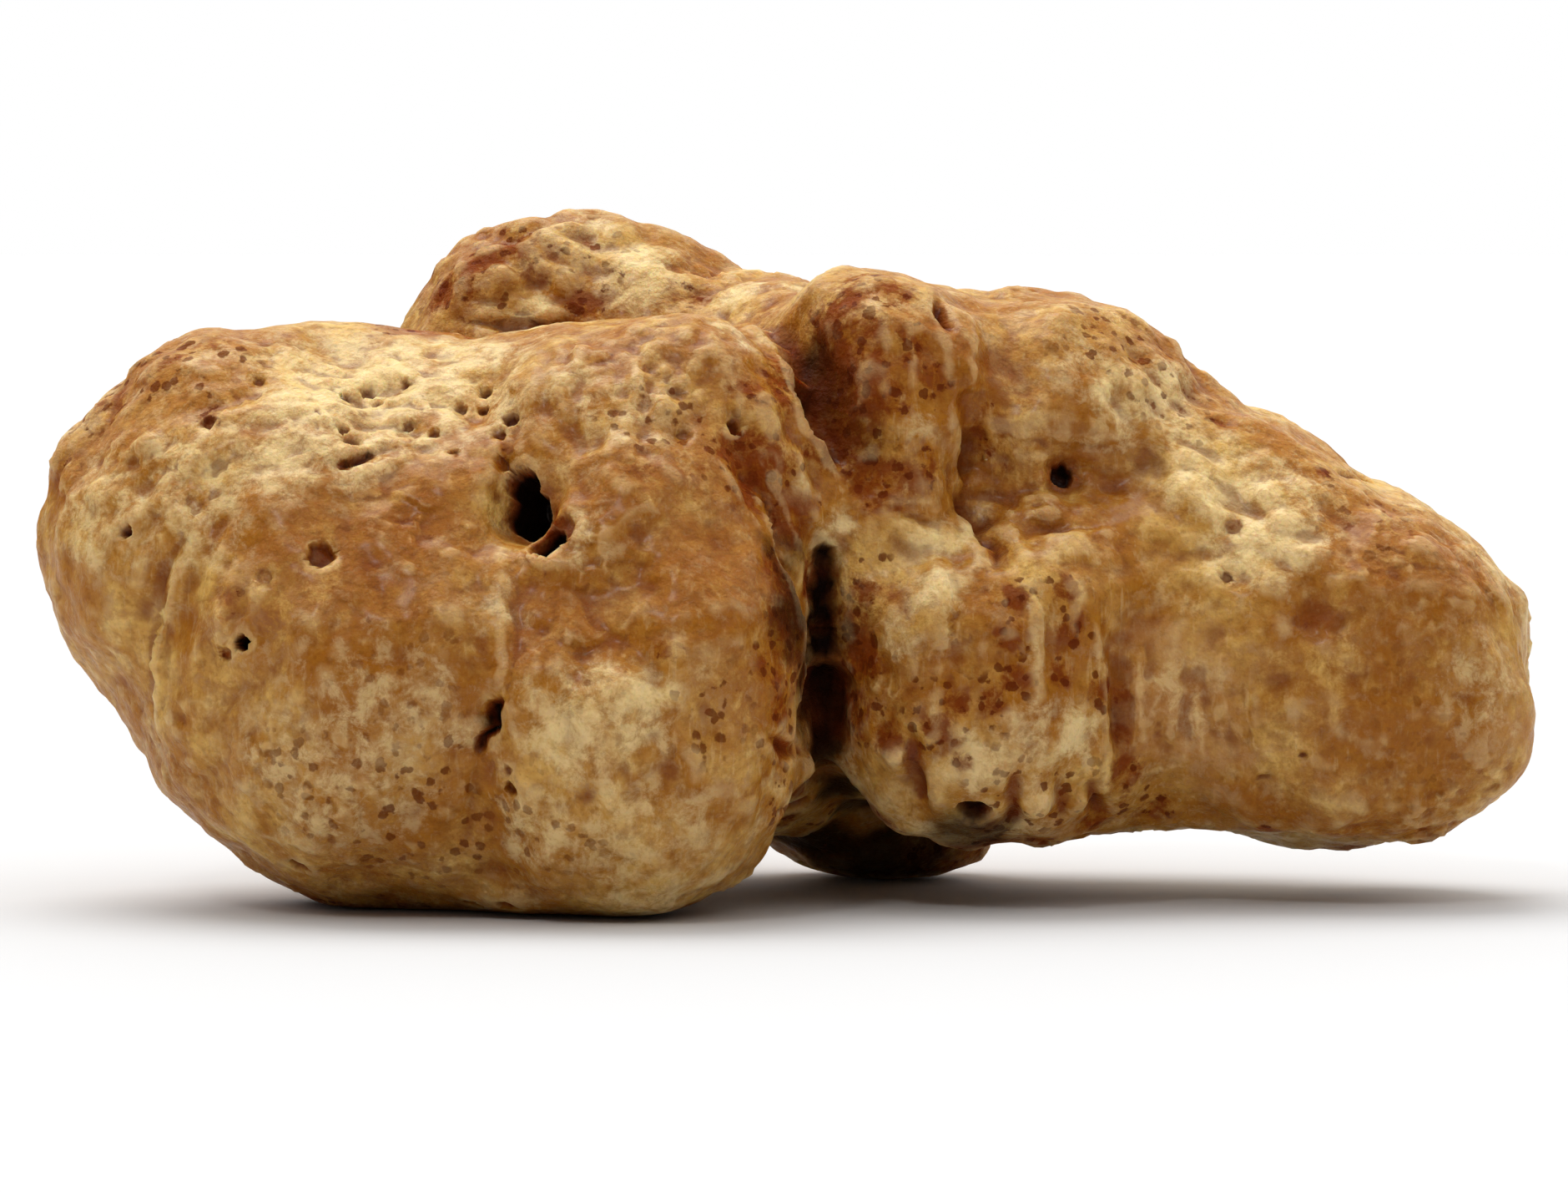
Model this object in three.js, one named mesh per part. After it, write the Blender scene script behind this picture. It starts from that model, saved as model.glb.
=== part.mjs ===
// A white truffle, Tuber magnatum: one solid fruiting body, lobed and folded, lying as it comes to rest.
// Millimetres. +X runs along its length, +Y away from its front, +Z up from the surface it lies on.
import * as THREE from "three";
import { ImprovedNoise } from "three/addons/math/ImprovedNoise.js";

// Driving dimensions. Every size and place below is in hundredths of the length, over the floor at z = 0.
const LENGTH = 80;
const NET_STEP = 1.95; // spacing of the grid that the skin is first found on
const EVENING_ROUNDS = 8; // how often the skin's vertices are spread out evenly
const SETTLING_ROUNDS = 3; // steps that bring a vertex back onto the skin
const NUDGE = 0.05; // how far off the slope is felt for
const LEAST_SLOPE = 0.5; // where the field is flatter than this, a vertex moves as if it were this steep
const CORE = 0.05; // the share of a lobe about its centre where its distance needs no slope

// The truffle grew as lobes, in masses. Lobes of one mass run into each other over `blend`. A lobe is an
// ellipsoid of half sizes `half`, turned by degrees about x, y and z. `square` above 2 makes it blockier.
const MASSES = [
  {
    name: "left",
    blend: 9,
    lobes: [
      { name: "core", at: [-21, -2.5, 18.5], half: [19.5, 15.5, 18], turn: [-22, 0, 0] },
      { name: "cheek", at: [-37.4, -3, 24], half: [10.4, 12, 9.2] },
      { name: "shoulder", at: [-31, 3, 29], half: [8, 11, 7.2] },
      { name: "brow", at: [-9.5, -1.5, 26.5], half: [11, 11, 9.2] },
      { name: "temple", at: [-6, -4, 28], half: [8.3, 9.6, 8] },
      { name: "nose", at: [-26, -9, 14.3], half: [12, 12.5, 12.6] },
      { name: "chin", at: [-8.5, -13, 12.8], half: [10.5, 12.5, 12.6], square: 2.2 },
    ],
  },
  {
    name: "back",
    blend: 6,
    lobes: [
      { name: "crown", at: [-13.8, 18, 34], half: [12, 10.5, 10.8] },
      { name: "ridge", at: [-5, 15, 32], half: [6.2, 8, 8.4] },
      { name: "bridge", at: [1.4, 10, 35.2], half: [4, 6, 6.2] },
      { name: "nape", at: [-15.5, 14, 19], half: [16, 13, 14] },
      { name: "middle", at: [0.5, 3, 20], half: [10, 11, 16] },
      { name: "ankle", at: [6, 14, 14], half: [10.5, 9, 9] },
      { name: "heel", at: [8, 14, 7.5], half: [8.5, 8.5, 8] },
    ],
  },
  {
    name: "right",
    blend: 6,
    lobes: [
      { name: "heart", at: [16.5, 5, 19], half: [17, 14, 13] },
      { name: "belly", at: [26.5, 2, 15.4], half: [18, 12, 10] },
      { name: "rump", at: [22.5, 13, 19], half: [12, 9, 11] },
      { name: "neck", at: [11, 5, 31.6], half: [5, 8, 7.6] },
      { name: "hump", at: [18.4, 4.4, 30.8], half: [9.6, 11.6, 9] },
      { name: "slope", at: [30.6, 4, 22], half: [12, 13, 9.2] },
      { name: "end", at: [39.4, 0, 14.5], half: [10.6, 12.5, 10.6], square: 2.8 },
      { name: "apron", at: [13.3, -6.2, 14.5], half: [9.2, 9.5, 10], square: 2.4 },
    ],
  },
  {
    name: "knob",
    blend: 4,
    lobes: [
      { name: "top", at: [5, 1, 34.8], half: [5.6, 8, 7.1] },
      { name: "cap", at: [10.4, 0.6, 33.8], half: [4.6, 7.6, 6.4] },
      { name: "tongue", at: [8, -4.5, 30], half: [5, 6, 8.5], turn: [-10, -20, 0] },
    ],
  },
  {
    name: "strap",
    blend: 4,
    lobes: [
      { name: "band", at: [0.3, -7, 28], half: [4, 6, 11.5], turn: [0, -34, 0] },
      { name: "bed", at: [6, -3.5, 24.5], half: [6, 7, 7] },
      { name: "flap", at: [1.2, -8, 17], half: [2.8, 6, 8] },
    ],
  },
];
const CLEFT_BLEND = 3; // where two masses meet, the skin folds in sharply

// Lines pressed into the skin: the points each runs through, how wide and how deep it is.
const GROOVES = [
  {
    name: "front crease",
    through: [[-18.5, -8, 34], [-16.5, -15, 26], [-18, -20, 19], [-18, -22, 11], [-17.8, -20, 2]],
    wide: 2,
    deep: 1.4,
  },
  { name: "cheek furrow", through: [[-35.5, -15, 29], [-37.4, -17, 23], [-39.4, -16, 16]], wide: 2, deep: 1 },
  { name: "knob edge", through: [[13, -4.6, 32.4], [12.9, -6, 29], [12.6, -8, 26]], wide: 1.8, deep: 1.3 },
  { name: "ledge", through: [[15, -5.6, 28], [19, -6, 28.2], [24, -5.6, 27.6]], wide: 2.5, deep: 1.5 },
  { name: "main cleft", through: [[3.2, -11, 23], [3.6, -13, 18], [3.2, -11.5, 12]], wide: 2, deep: 1.9 },
  {
    name: "apron side",
    through: [[24, -11, 18], [23, -14.5, 14], [22.5, -14.5, 9], [21.5, -9, 3]],
    wide: 2,
    deep: 1.6,
  },
  {
    name: "back crease",
    through: [[24, 15, 33], [27, 19, 24], [25, 22, 15], [28, 15, 6]],
    wide: 2.4,
    deep: 2.2,
  },
  {
    name: "nape crease",
    through: [[-24, 23, 36], [-20, 28, 28], [-22, 27, 18], [-18, 23, 8]],
    wide: 2.4,
    deep: 2,
  },
];

// Hollows pressed into the skin.
const HOLLOWS = [
  { name: "front dish", at: [-28, -8, 33], wide: 8, deep: 1.2 },
  { name: "middle dish", at: [-9.5, -23, 20.5], wide: 5.5, deep: 1.6 },
  { name: "dimple", at: [35.5, -14, 19], wide: 3, deep: 1.4 },
  { name: "hole", at: [-15.3, -16.5, 25.3], wide: 2.3, deep: 1.9 },
  { name: "back dish", at: [-6, 29, 22], wide: 5, deep: 2 },
  { name: "end dish", at: [40, 15, 20], wide: 5, deep: 2 },
];

// Relief all over: rounded lumps of falling size.
const RELIEF = [
  { size: 13, height: 1.3 },
  { size: 7, height: 0.7 },
  { size: 3.6, height: 0.35 },
];

function lobeOf({ at, half, turn = [0, 0, 0], square = 2 }) {
  const [tx, ty, tz] = turn.map(THREE.MathUtils.degToRad);
  const inverse = new THREE.Quaternion().setFromEuler(new THREE.Euler(tx, ty, tz)).invert();
  return { at: new THREE.Vector3(...at), half: new THREE.Vector3(...half), inverse, square };
}

const STEPS_PER_POINT = 4; // straight steps that a groove's curve takes for each of its points
function grooveOf({ through, wide, deep }) {
  const curve = new THREE.CatmullRomCurve3(through.map((at) => new THREE.Vector3(...at)));
  return { line: curve.getPoints(through.length * STEPS_PER_POINT), wide, deep };
}

const masses = MASSES.map(({ blend, lobes }) => ({ blend, lobes: lobes.map(lobeOf) }));
const grooves = GROOVES.map(grooveOf);
const hollows = HOLLOWS.map(({ at, wide, deep }) => ({ centre: new THREE.Vector3(...at), wide, deep }));
const noise = new ImprovedNoise();

const local = new THREE.Vector3();
// Distance from a point to a lobe, negative inside, right to first order near its surface.
function toLobe(p, { at, half, inverse, square }) {
  local.copy(p).sub(at).applyQuaternion(inverse).divide(half);
  const [x, y, z] = [Math.abs(local.x), Math.abs(local.y), Math.abs(local.z)];
  const reach = (x ** square + y ** square + z ** square) ** (1 / square);
  if (reach < CORE) return (reach - 1) * Math.min(half.x, half.y, half.z);
  const steep = square - 1;
  const slope = Math.hypot(x ** steep / half.x, y ** steep / half.y, z ** steep / half.z);
  return ((reach - 1) * reach ** steep) / slope;
}

const run = new THREE.Vector3();
const offset = new THREE.Vector3();
function toLine(p, points) {
  let nearest = Infinity;
  for (let i = 1; i < points.length; i++) {
    run.subVectors(points[i], points[i - 1]);
    offset.subVectors(p, points[i - 1]);
    const along = THREE.MathUtils.clamp(offset.dot(run) / run.lengthSq(), 0, 1);
    nearest = Math.min(nearest, offset.addScaledVector(run, -along).lengthSq());
  }
  return Math.sqrt(nearest);
}

// The smaller of two distances, rounded off where they are within `blend` of each other.
function softMin(a, b, blend) {
  const overlap = Math.max(blend - Math.abs(a - b), 0) / blend;
  return Math.min(a, b) - (overlap * overlap * blend) / 4;
}

function softMinOf(distances, blend) {
  return distances.reduce((least, d) => softMin(least, d, blend));
}

// How deep the skin is pressed in, from 1 at the middle to nothing at two widths away.
function press(share) {
  return share < 2 ? (1 - share ** 2 / 4) ** 2 * Math.exp(-(share ** 2) / 2) : 0;
}

// Distance from a point to the truffle's skin, negative inside the flesh.
function field(p) {
  const toMass = ({ blend, lobes }) => softMinOf(lobes.map((lobe) => toLobe(p, lobe)), blend);
  let distance = softMinOf(masses.map(toMass), CLEFT_BLEND);
  for (const { line, wide, deep } of grooves) distance += deep * press(toLine(p, line) / wide);
  for (const { centre, wide, deep } of hollows) distance += deep * press(p.distanceTo(centre) / wide);
  for (const { size, height } of RELIEF) distance -= height * noise.noise(p.x / size, p.y / size, p.z / size);
  return Math.max(distance, -p.z); // pressed flat where it rests on the floor
}

function forGrid([nx, ny, nz], visit) {
  for (let k = 0; k < nz; k++) for (let j = 0; j < ny; j++) for (let i = 0; i < nx; i++) visit(i, j, k);
}

const AXES = [[1, 0, 0], [0, 1, 0], [0, 0, 1]];
const CORNERS = [0, 1, 2, 3, 4, 5, 6, 7].map((c) => [c & 1, (c >> 1) & 1, c >> 2]);
const edgesFrom = (a) => [1, 2, 4].filter((bit) => !(a & bit)).map((bit) => [a, a | bit]);
const EDGES = CORNERS.flatMap((_, a) => edgesFrom(a));

// The middle of the places where the skin cuts a grid cell's edges, in cells from its first corner,
// or nothing where it misses the cell.
function cellMiddle(values) {
  const sum = new THREE.Vector3();
  let crossings = 0;
  for (const [a, b] of EDGES) {
    if (values[a] < 0 === values[b] < 0) continue;
    const along = values[a] / (values[a] - values[b]);
    sum.add(new THREE.Vector3(...CORNERS[a]).lerp(new THREE.Vector3(...CORNERS[b]), along));
    crossings++;
  }
  return crossings ? sum.divideScalar(crossings) : null;
}

// The closed skin where the field is zero, by surface nets: one vertex in each grid cell that the skin
// passes through, and one square across each grid edge that it cuts.
function skin(room, step) {
  const [nx, ny, nz] = room.getSize(new THREE.Vector3()).divideScalar(step).ceil().addScalar(1).toArray();
  const node = (i, j, k) => i + nx * (j + ny * k);
  const place = (i, j, k) => new THREE.Vector3(i, j, k).multiplyScalar(step).add(room.min);
  const values = new Float32Array(nx * ny * nz);
  forGrid([nx, ny, nz], (i, j, k) => (values[node(i, j, k)] = field(place(i, j, k))));

  const vertexOf = new Map();
  const positions = [];
  forGrid([nx - 1, ny - 1, nz - 1], (i, j, k) => {
    const middle = cellMiddle(CORNERS.map(([x, y, z]) => values[node(i + x, j + y, k + z)]));
    if (!middle) return;
    vertexOf.set(node(i, j, k), positions.length);
    positions.push(middle.multiplyScalar(step).add(place(i, j, k)));
  });

  const squares = [];
  forGrid([nx - 1, ny - 1, nz - 1], (i, j, k) => {
    const inside = values[node(i, j, k)] < 0;
    AXES.forEach(([x, y, z], axis) => {
      if (inside === values[node(i + x, j + y, k + z)] < 0) return;
      const [u, v] = [AXES[(axis + 1) % 3], AXES[(axis + 2) % 3]];
      const back = (a, b) => [i - a * u[0] - b * v[0], j - a * u[1] - b * v[1], k - a * u[2] - b * v[2]];
      const cells = [back(0, 0), back(1, 0), back(1, 1), back(0, 1)];
      const ring = cells.map((cell) => vertexOf.get(node(...cell)));
      squares.push(inside ? ring : ring.reverse());
    });
  });
  return { positions, triangles: squares.flatMap((square) => splitSquare(square, positions)) };
}

// A square as two triangles, cut along its shorter diagonal.
function splitSquare([a, b, c, d], at) {
  return at[a].distanceTo(at[c]) < at[b].distanceTo(at[d]) ? [a, b, c, a, c, d] : [a, b, d, b, c, d];
}

function slopeAt(p) {
  const slope = ["x", "y", "z"].map((axis) => {
    const [ahead, behind] = [p.clone(), p.clone()];
    ahead[axis] += NUDGE;
    behind[axis] -= NUDGE;
    return (field(ahead) - field(behind)) / (2 * NUDGE);
  });
  return new THREE.Vector3(...slope);
}

// Moves a point onto the skin along the field's steepest slope, by no more than a unit a time.
function settle(p) {
  for (let round = 0; round < SETTLING_ROUNDS; round++) {
    const slope = slopeAt(p);
    const push = THREE.MathUtils.clamp(field(p) / Math.max(slope.lengthSq(), LEAST_SLOPE ** 2), -1, 1);
    p.addScaledVector(slope, -push);
  }
}

// Spreads the vertices out evenly over the skin: each goes halfway to the middle of its neighbours,
// then back onto the skin.
function evenOut({ positions, triangles }) {
  const neighbours = positions.map(() => new Set());
  for (let t = 0; t < triangles.length; t += 3) {
    const corners = triangles.slice(t, t + 3);
    for (const a of corners) for (const b of corners) if (a !== b) neighbours[a].add(b);
  }
  const middleOf = (near) =>
    [...near].reduce((sum, n) => sum.add(positions[n]), new THREE.Vector3()).divideScalar(near.size);
  for (let round = 0; round < EVENING_ROUNDS; round++) {
    const middles = neighbours.map(middleOf);
    positions.forEach((p, i) => settle(p.lerp(middles[i], 0.5)));
  }
}

function geometryOf({ positions, triangles }) {
  return new THREE.BufferGeometry()
    .setAttribute("position", new THREE.Float32BufferAttribute(positions.flatMap((p) => p.toArray()), 3))
    .setIndex(triangles);
}

// Centred over the floor and brought to its real length.
function toLength(geometry) {
  geometry.computeBoundingBox();
  const middle = geometry.boundingBox.getCenter(new THREE.Vector3());
  const scale = LENGTH / geometry.boundingBox.getSize(new THREE.Vector3()).x;
  return geometry.translate(-middle.x, -middle.y, 0).scale(scale, scale, scale);
}

// The grid starts where no face of its cells has only two opposite corners in the flesh, which would join
// four triangles along one edge.
const room = new THREE.Box3(new THREE.Vector3(-55.6, -32.9, -4.6), new THREE.Vector3(56, 36, 52));
const net = skin(room, NET_STEP);
evenOut(net);

const flesh = new THREE.MeshStandardMaterial({ color: 0xc29a5b, roughness: 0.55, metalness: 0 });
const truffle = new THREE.Mesh(toLength(geometryOf(net)), flesh);
truffle.name = "truffle";

const part = new THREE.Group();
part.add(truffle);
export default part;
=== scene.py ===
"""How the white truffle looks: its skin at full detail, its colours, and the floor, light and camera.

The CAD solid holds the lobes, folds and clefts. Here that solid is refined and replaced by one mesh, which
adds the forms too small for it: bores that larvae left, pits, cracks, creases, ridges, frills and wrinkles.

Lengths are in millimetres where nothing else is said, and become Blender's metres in the mesh, the materials
and the camera. A place on the skin is named by its pixel in the photograph's 1879 x 1428 frame, and found by
looking along that pixel.
"""
import math

import bmesh
import bpy
import numpy as np
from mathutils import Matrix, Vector, noise
from mathutils.bvhtree import BVHTree


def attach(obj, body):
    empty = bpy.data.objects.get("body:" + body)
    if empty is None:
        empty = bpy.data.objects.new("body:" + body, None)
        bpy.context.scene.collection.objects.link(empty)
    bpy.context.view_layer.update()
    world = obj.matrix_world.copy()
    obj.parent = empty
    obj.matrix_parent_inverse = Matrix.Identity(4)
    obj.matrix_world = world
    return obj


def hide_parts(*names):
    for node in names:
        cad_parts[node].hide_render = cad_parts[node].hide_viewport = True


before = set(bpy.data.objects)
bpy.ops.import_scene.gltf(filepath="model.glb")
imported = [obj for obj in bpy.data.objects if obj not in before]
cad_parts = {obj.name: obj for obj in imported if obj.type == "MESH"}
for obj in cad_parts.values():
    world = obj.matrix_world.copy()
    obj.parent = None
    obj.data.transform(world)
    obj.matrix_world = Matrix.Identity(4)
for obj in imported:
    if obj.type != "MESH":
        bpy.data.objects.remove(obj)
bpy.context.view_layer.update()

NODE = "truffle"
METRES = 0.001  # one millimetre in Blender's units

# The photograph's frame and the camera that sees the truffle as it does.
PHOTO_WIDTH = 1879
PHOTO_MIDDLE = (939.5, 714.0)
FOCAL_PIXELS = 9980.0
SENSOR = 36.0
CLIP_START = 0.01  # metres
CAMERA_TILT = math.radians(3.0)
CAMERA_DISTANCE = 448.0
CAMERA_AIM = np.array([0.0, 0.0, 16.12])
CAMERA_BACK = np.array([0.0, -math.cos(CAMERA_TILT), math.sin(CAMERA_TILT)])
CAMERA_UP = np.array([0.0, math.sin(CAMERA_TILT), math.cos(CAMERA_TILT)])
CAMERA_PLACE = CAMERA_AIM + CAMERA_DISTANCE * CAMERA_BACK

# Refining the solid.
WELD = 1e-6  # metres: corners closer than this are made one
JOINED_BEND = math.radians(60.0)  # two triangles that bend more than this aren't joined into a square,
JOINED_SKEW = math.radians(70.0)  # nor two whose corners would be further than this from square
ROUNDING_ROUNDS = 2
LINE_STEP = 2.0  # pixels between the places looked up along a line
LINE_MARGIN = 0.3  # how far beyond a groove's half-width its faces are refined
PIT_MARGIN = (1.15, 0.15)  # the same for a hollow: this many times its radius, and this much more

# Narrow forms that run along the skin: the pixels that they run through, half-width and depth.
# A negative depth raises a ridge.
CREASES = {
    "front crease, top": ([(604, 470), (614, 500), (606, 540), (612, 575)], 0.5, 0.3),
    "knob's ridge": ([(1140, 470), (1141, 540), (1136, 596)], 0.45, -0.25),
    "knob's foot": ([(1062, 618), (1085, 622), (1112, 624), (1130, 622)], 0.5, 0.3),
    "strap's groove": ([(868, 478), (885, 520), (905, 560), (925, 600), (945, 640), (966, 668)], 0.5, 0.5),
    "strap's fold": ([(905, 470), (930, 520), (955, 560), (990, 610)], 0.9, -0.3),
    "main cleft": ([(985, 655), (994, 720), (992, 800), (990, 880), (985, 945)], 0.65, 1.5),
    "crown's foot": ([(560, 380), (590, 387), (640, 390), (690, 386)], 0.3, 0.4),
    "crown's fold": ([(860, 372), (885, 388), (905, 392)], 0.35, 0.4),
    "crown's lip": ([(612, 376), (645, 377), (680, 374)], 0.35, -0.25),
    "cheek's border": ([(222, 640), (196, 690), (183, 740), (180, 800), (186, 860)], 0.9, -0.12),
    "cheek's furrow": ([(238, 650), (214, 700), (200, 760), (200, 820)], 0.8, 0.2),
    "apron's side": ([(1336, 770), (1349, 820), (1346, 880), (1336, 960)], 0.6, 0.15),
    "apron's rim": ([(1062, 618), (1100, 640), (1130, 648), (1150, 618)], 0.5, -0.35),
    "left pillar": ([(1122, 655), (1120, 710), (1117, 780)], 0.8, -0.3),
    "right pillar": ([(1236, 680), (1240, 750), (1234, 830), (1230, 890)], 1.1, -0.08),
    "pillar's shadow": ([(1160, 700), (1158, 770), (1150, 830)], 0.9, 0.25),
    "right pillar's left": ([(1214, 690), (1216, 760), (1210, 830)], 0.8, 0.15),
    "right pillar's right": ([(1262, 700), (1266, 770), (1262, 820)], 0.8, 0.15),
    "apron's last pillar": ([(1316, 740), (1326, 800), (1322, 880)], 1.2, -0.1),
    "apron's fold": ([(1010, 850), (1060, 880), (1110, 905), (1160, 890), (1215, 905)], 0.7, 0.3),
    "patch's edge": ([(1366, 770), (1362, 830), (1366, 900)], 0.5, -0.3),
    "ledge's front": ([(1175, 612), (1230, 618), (1300, 618), (1375, 612)], 1.6, 0.8),
    "right lip": ([(1655, 840), (1700, 858), (1745, 858)], 0.9, -0.2),
}
# Steps, where one fold lies over another: pixels, the upper fold's lip, the drop beside it, and how far
# the drop takes to fade. The low side is the right one, for a line that is followed down the picture.
STEPS = {
    "front fold": ([(600, 650), (606, 700), (604, 760), (608, 805), (598, 838)], 0.05, 0.45, 1.8),
    "middle mass's edge": ([(885, 384), (905, 392), (932, 420), (955, 450), (960, 500), (978, 530),
                            (1003, 566)], 0.3, 1.7, 2.4),
    "flap": ([(905, 600), (932, 650), (950, 700), (962, 760), (964, 830), (950, 870)], 0.2, 1.1, 1.6),
    "knob's strap": ([(1148, 470), (1152, 540), (1148, 600)], 0.15, 0.5, 1.8),
    "apron's tooth": ([(1140, 606), (1164, 636), (1186, 668), (1168, 690)], 0.25, 0.7, 1.2),
    "right pillar": ([(1240, 690), (1250, 760), (1244, 840)], 0.1, 0.25, 1.2),
    "left pillar": ([(1132, 680), (1136, 740), (1130, 800)], 0.1, 0.25, 1.4),
    "apron's edge": ([(1318, 740), (1330, 800), (1336, 860), (1328, 930)], 0.1, 0.3, 1.4),
    "cheek": ([(184, 870), (180, 800), (186, 740), (205, 690), (240, 636)], 0.08, 0.7, 2.6),
    "crown's shelf": ([(700, 386), (660, 388), (610, 386), (566, 378)], 0.1, 0.4, 0.8),
}
# Cracks, slits, notches and the frill's furrows: pixels, half-width and depth. The mesh is refined for them.
GROOVES = {
    "chin's crack": ([(601, 836), (588, 852), (593, 870), (578, 884), (572, 904)], 0.26, 1.2),
    "chin's crack, faint": ([(572, 904), (566, 960), (560, 1010)], 0.35, 0.2),
    "slit": ([(404, 557), (425, 549), (452, 541)], 0.25, 0.8),
    "top crack": ([(1126, 360), (1131, 378), (1141, 394)], 0.28, 0.9),
    "right slit": ([(1606, 566), (1626, 570), (1648, 580)], 0.3, 0.7),
    "first frill": ([(1094, 885), (1093, 920), (1104, 965)], 0.55, 0.7),
    "second frill": ([(1220, 925), (1213, 955), (1216, 995)], 0.5, 0.55),
    "third frill": ([(1268, 930), (1274, 955), (1272, 985)], 0.45, 0.5),
    "fourth frill": ([(1306, 935), (1316, 960), (1316, 985)], 0.45, 0.5),
    "chin's notch": ([(922, 880), (944, 896), (966, 900)], 0.35, 0.6),
    "chin's second notch": ([(930, 975), (955, 965), (975, 955)], 0.3, 0.4),
    "low slit": ([(1555, 908), (1568, 903)], 0.2, 0.4),
    "lowest slit": ([(1505, 934), (1524, 930)], 0.2, 0.35),
}

# Hollows sunk straight in: pixel, radius, depth, and the width of the wall, which is broad in a bowl.
HOLLOWS = {
    "main bore": ((638, 615), 1.3, 4.0, 0.4),
    "main bore, top": ((626, 582), 0.8, 3.2, 0.4),
    "main bore, tip": ((650, 645), 0.9, 3.4, 0.35),
    "main bore, right": ((668, 632), 0.85, 0.55, 0.6),
    "main bore's rim": ((648, 618), 2.0, 0.35, 1.4),
    "round bore": ((288, 770), 0.42, 1.6, 0.12),
    "round bore's twin": ((268, 783), 0.40, 0.35, 0.25),
    "wide pit": ((385, 662), 0.70, 0.55, 0.3),
    "small pit": ((315, 690), 0.48, 0.25, 0.3),
    "ring": ((278, 722), 0.95, 0.18, 0.3),
    "cheek bore": ((150, 637), 0.34, 1.0, 0.14),
    "ledge bore": ((1275, 567), 0.68, 1.0, 0.4),
    "ledge bore's halo": ((1275, 567), 1.2, 0.35, 0.8),
    "crease pit 1": ((583, 470), 0.38, 0.55, 0.25),
    "crease pit 2": ((612, 500), 0.42, 0.7, 0.25),
    "crease pit 3": ((552, 488), 0.3, 0.45, 0.25),
    "crease pit 4": ((580, 492), 0.34, 0.5, 0.25),
    "crease pit 5": ((598, 520), 0.3, 0.45, 0.2),
    "crease pit 6": ((545, 540), 0.3, 0.35, 0.2),
    "crease pit 7": ((600, 556), 0.4, 0.5, 0.25),
    "plateau pit 1": ((490, 508), 0.32, 0.4, 0.2),
    "plateau pit 2": ((520, 518), 0.3, 0.4, 0.2),
    "plateau pit 3": ((485, 458), 0.3, 0.35, 0.2),
    "plateau pit 4": ((440, 470), 0.4, 0.45, 0.25),
    "plateau pit 5": ((415, 474), 0.3, 0.35, 0.2),
    "plateau pit 6": ((380, 488), 0.3, 0.35, 0.2),
    "plateau pit 7": ((452, 482), 0.3, 0.35, 0.2),
    "plateau pit 8": ((412, 514), 0.3, 0.35, 0.2),
    "plateau pit 9": ((420, 530), 0.45, 0.4, 0.25),
    "plateau pit 10": ((310, 455), 0.3, 0.3, 0.2),
    "plateau pit 11": ((250, 505), 0.35, 0.35, 0.2),
    "brow pit 1": ((880, 510), 0.4, 0.6, 0.2),
    "brow pit 2": ((820, 520), 0.4, 0.3, 0.3),
    "dimple": ((1575, 736), 1.1, 0.35, 1.6),
    "dimple's eye": ((1556, 744), 0.5, 0.3, 0.6),
    "dimple's tail": ((1600, 745), 0.7, 0.3, 0.8),
    "apron's dark pit": ((1166, 972), 0.8, 0.9, 0.5),
    "slope pit": ((1478, 628), 0.5, 0.3, 0.4),
    "slope pit 2": ((1470, 690), 0.35, 0.4, 0.25),
    "chin nick 1": ((612, 946), 0.4, 0.5, 0.25),
    "chin nick 2": ((608, 925), 0.3, 0.35, 0.25),
}
# Bumps: pixel, radius and height.
BUMPS = {
    "chin's bump": ((660, 850), 1.9, 0.5),
    "chin's second bump": ((735, 845), 1.6, 0.35),
    "first lobule": ((1072, 905), 0.95, 0.7),
    "apron's belly": ((1150, 940), 1.7, 0.6),
    "second lobule": ((1243, 962), 1.0, 0.8),
    "third lobule": ((1293, 960), 0.8, 0.7),
    "ledge's left": ((1185, 545), 1.8, 1.0),
    "knob's right foot": ((1165, 585), 1.2, 0.5),
    "chin's nub": ((962, 920), 0.9, 0.6),
    "shoulder": ((300, 400), 6.0, 0.5),
    "knob's brow": ((1040, 345), 1.6, 0.4),
    "crown's brow": ((560, 320), 2.2, 0.4),
    "crown's cheek": ((640, 330), 1.8, 0.35),
    "right end's knuckle": ((1820, 710), 1.6, 0.5),
    "apron's low knot": ((1120, 950), 0.8, 0.3),
    "knob's right side": ((1155, 395), 1.5, 0.7),
    "knob's right side, middle": ((1158, 430), 1.5, 0.8),
    "knob's right side, foot": ((1158, 462), 1.3, 0.7),
}

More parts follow.
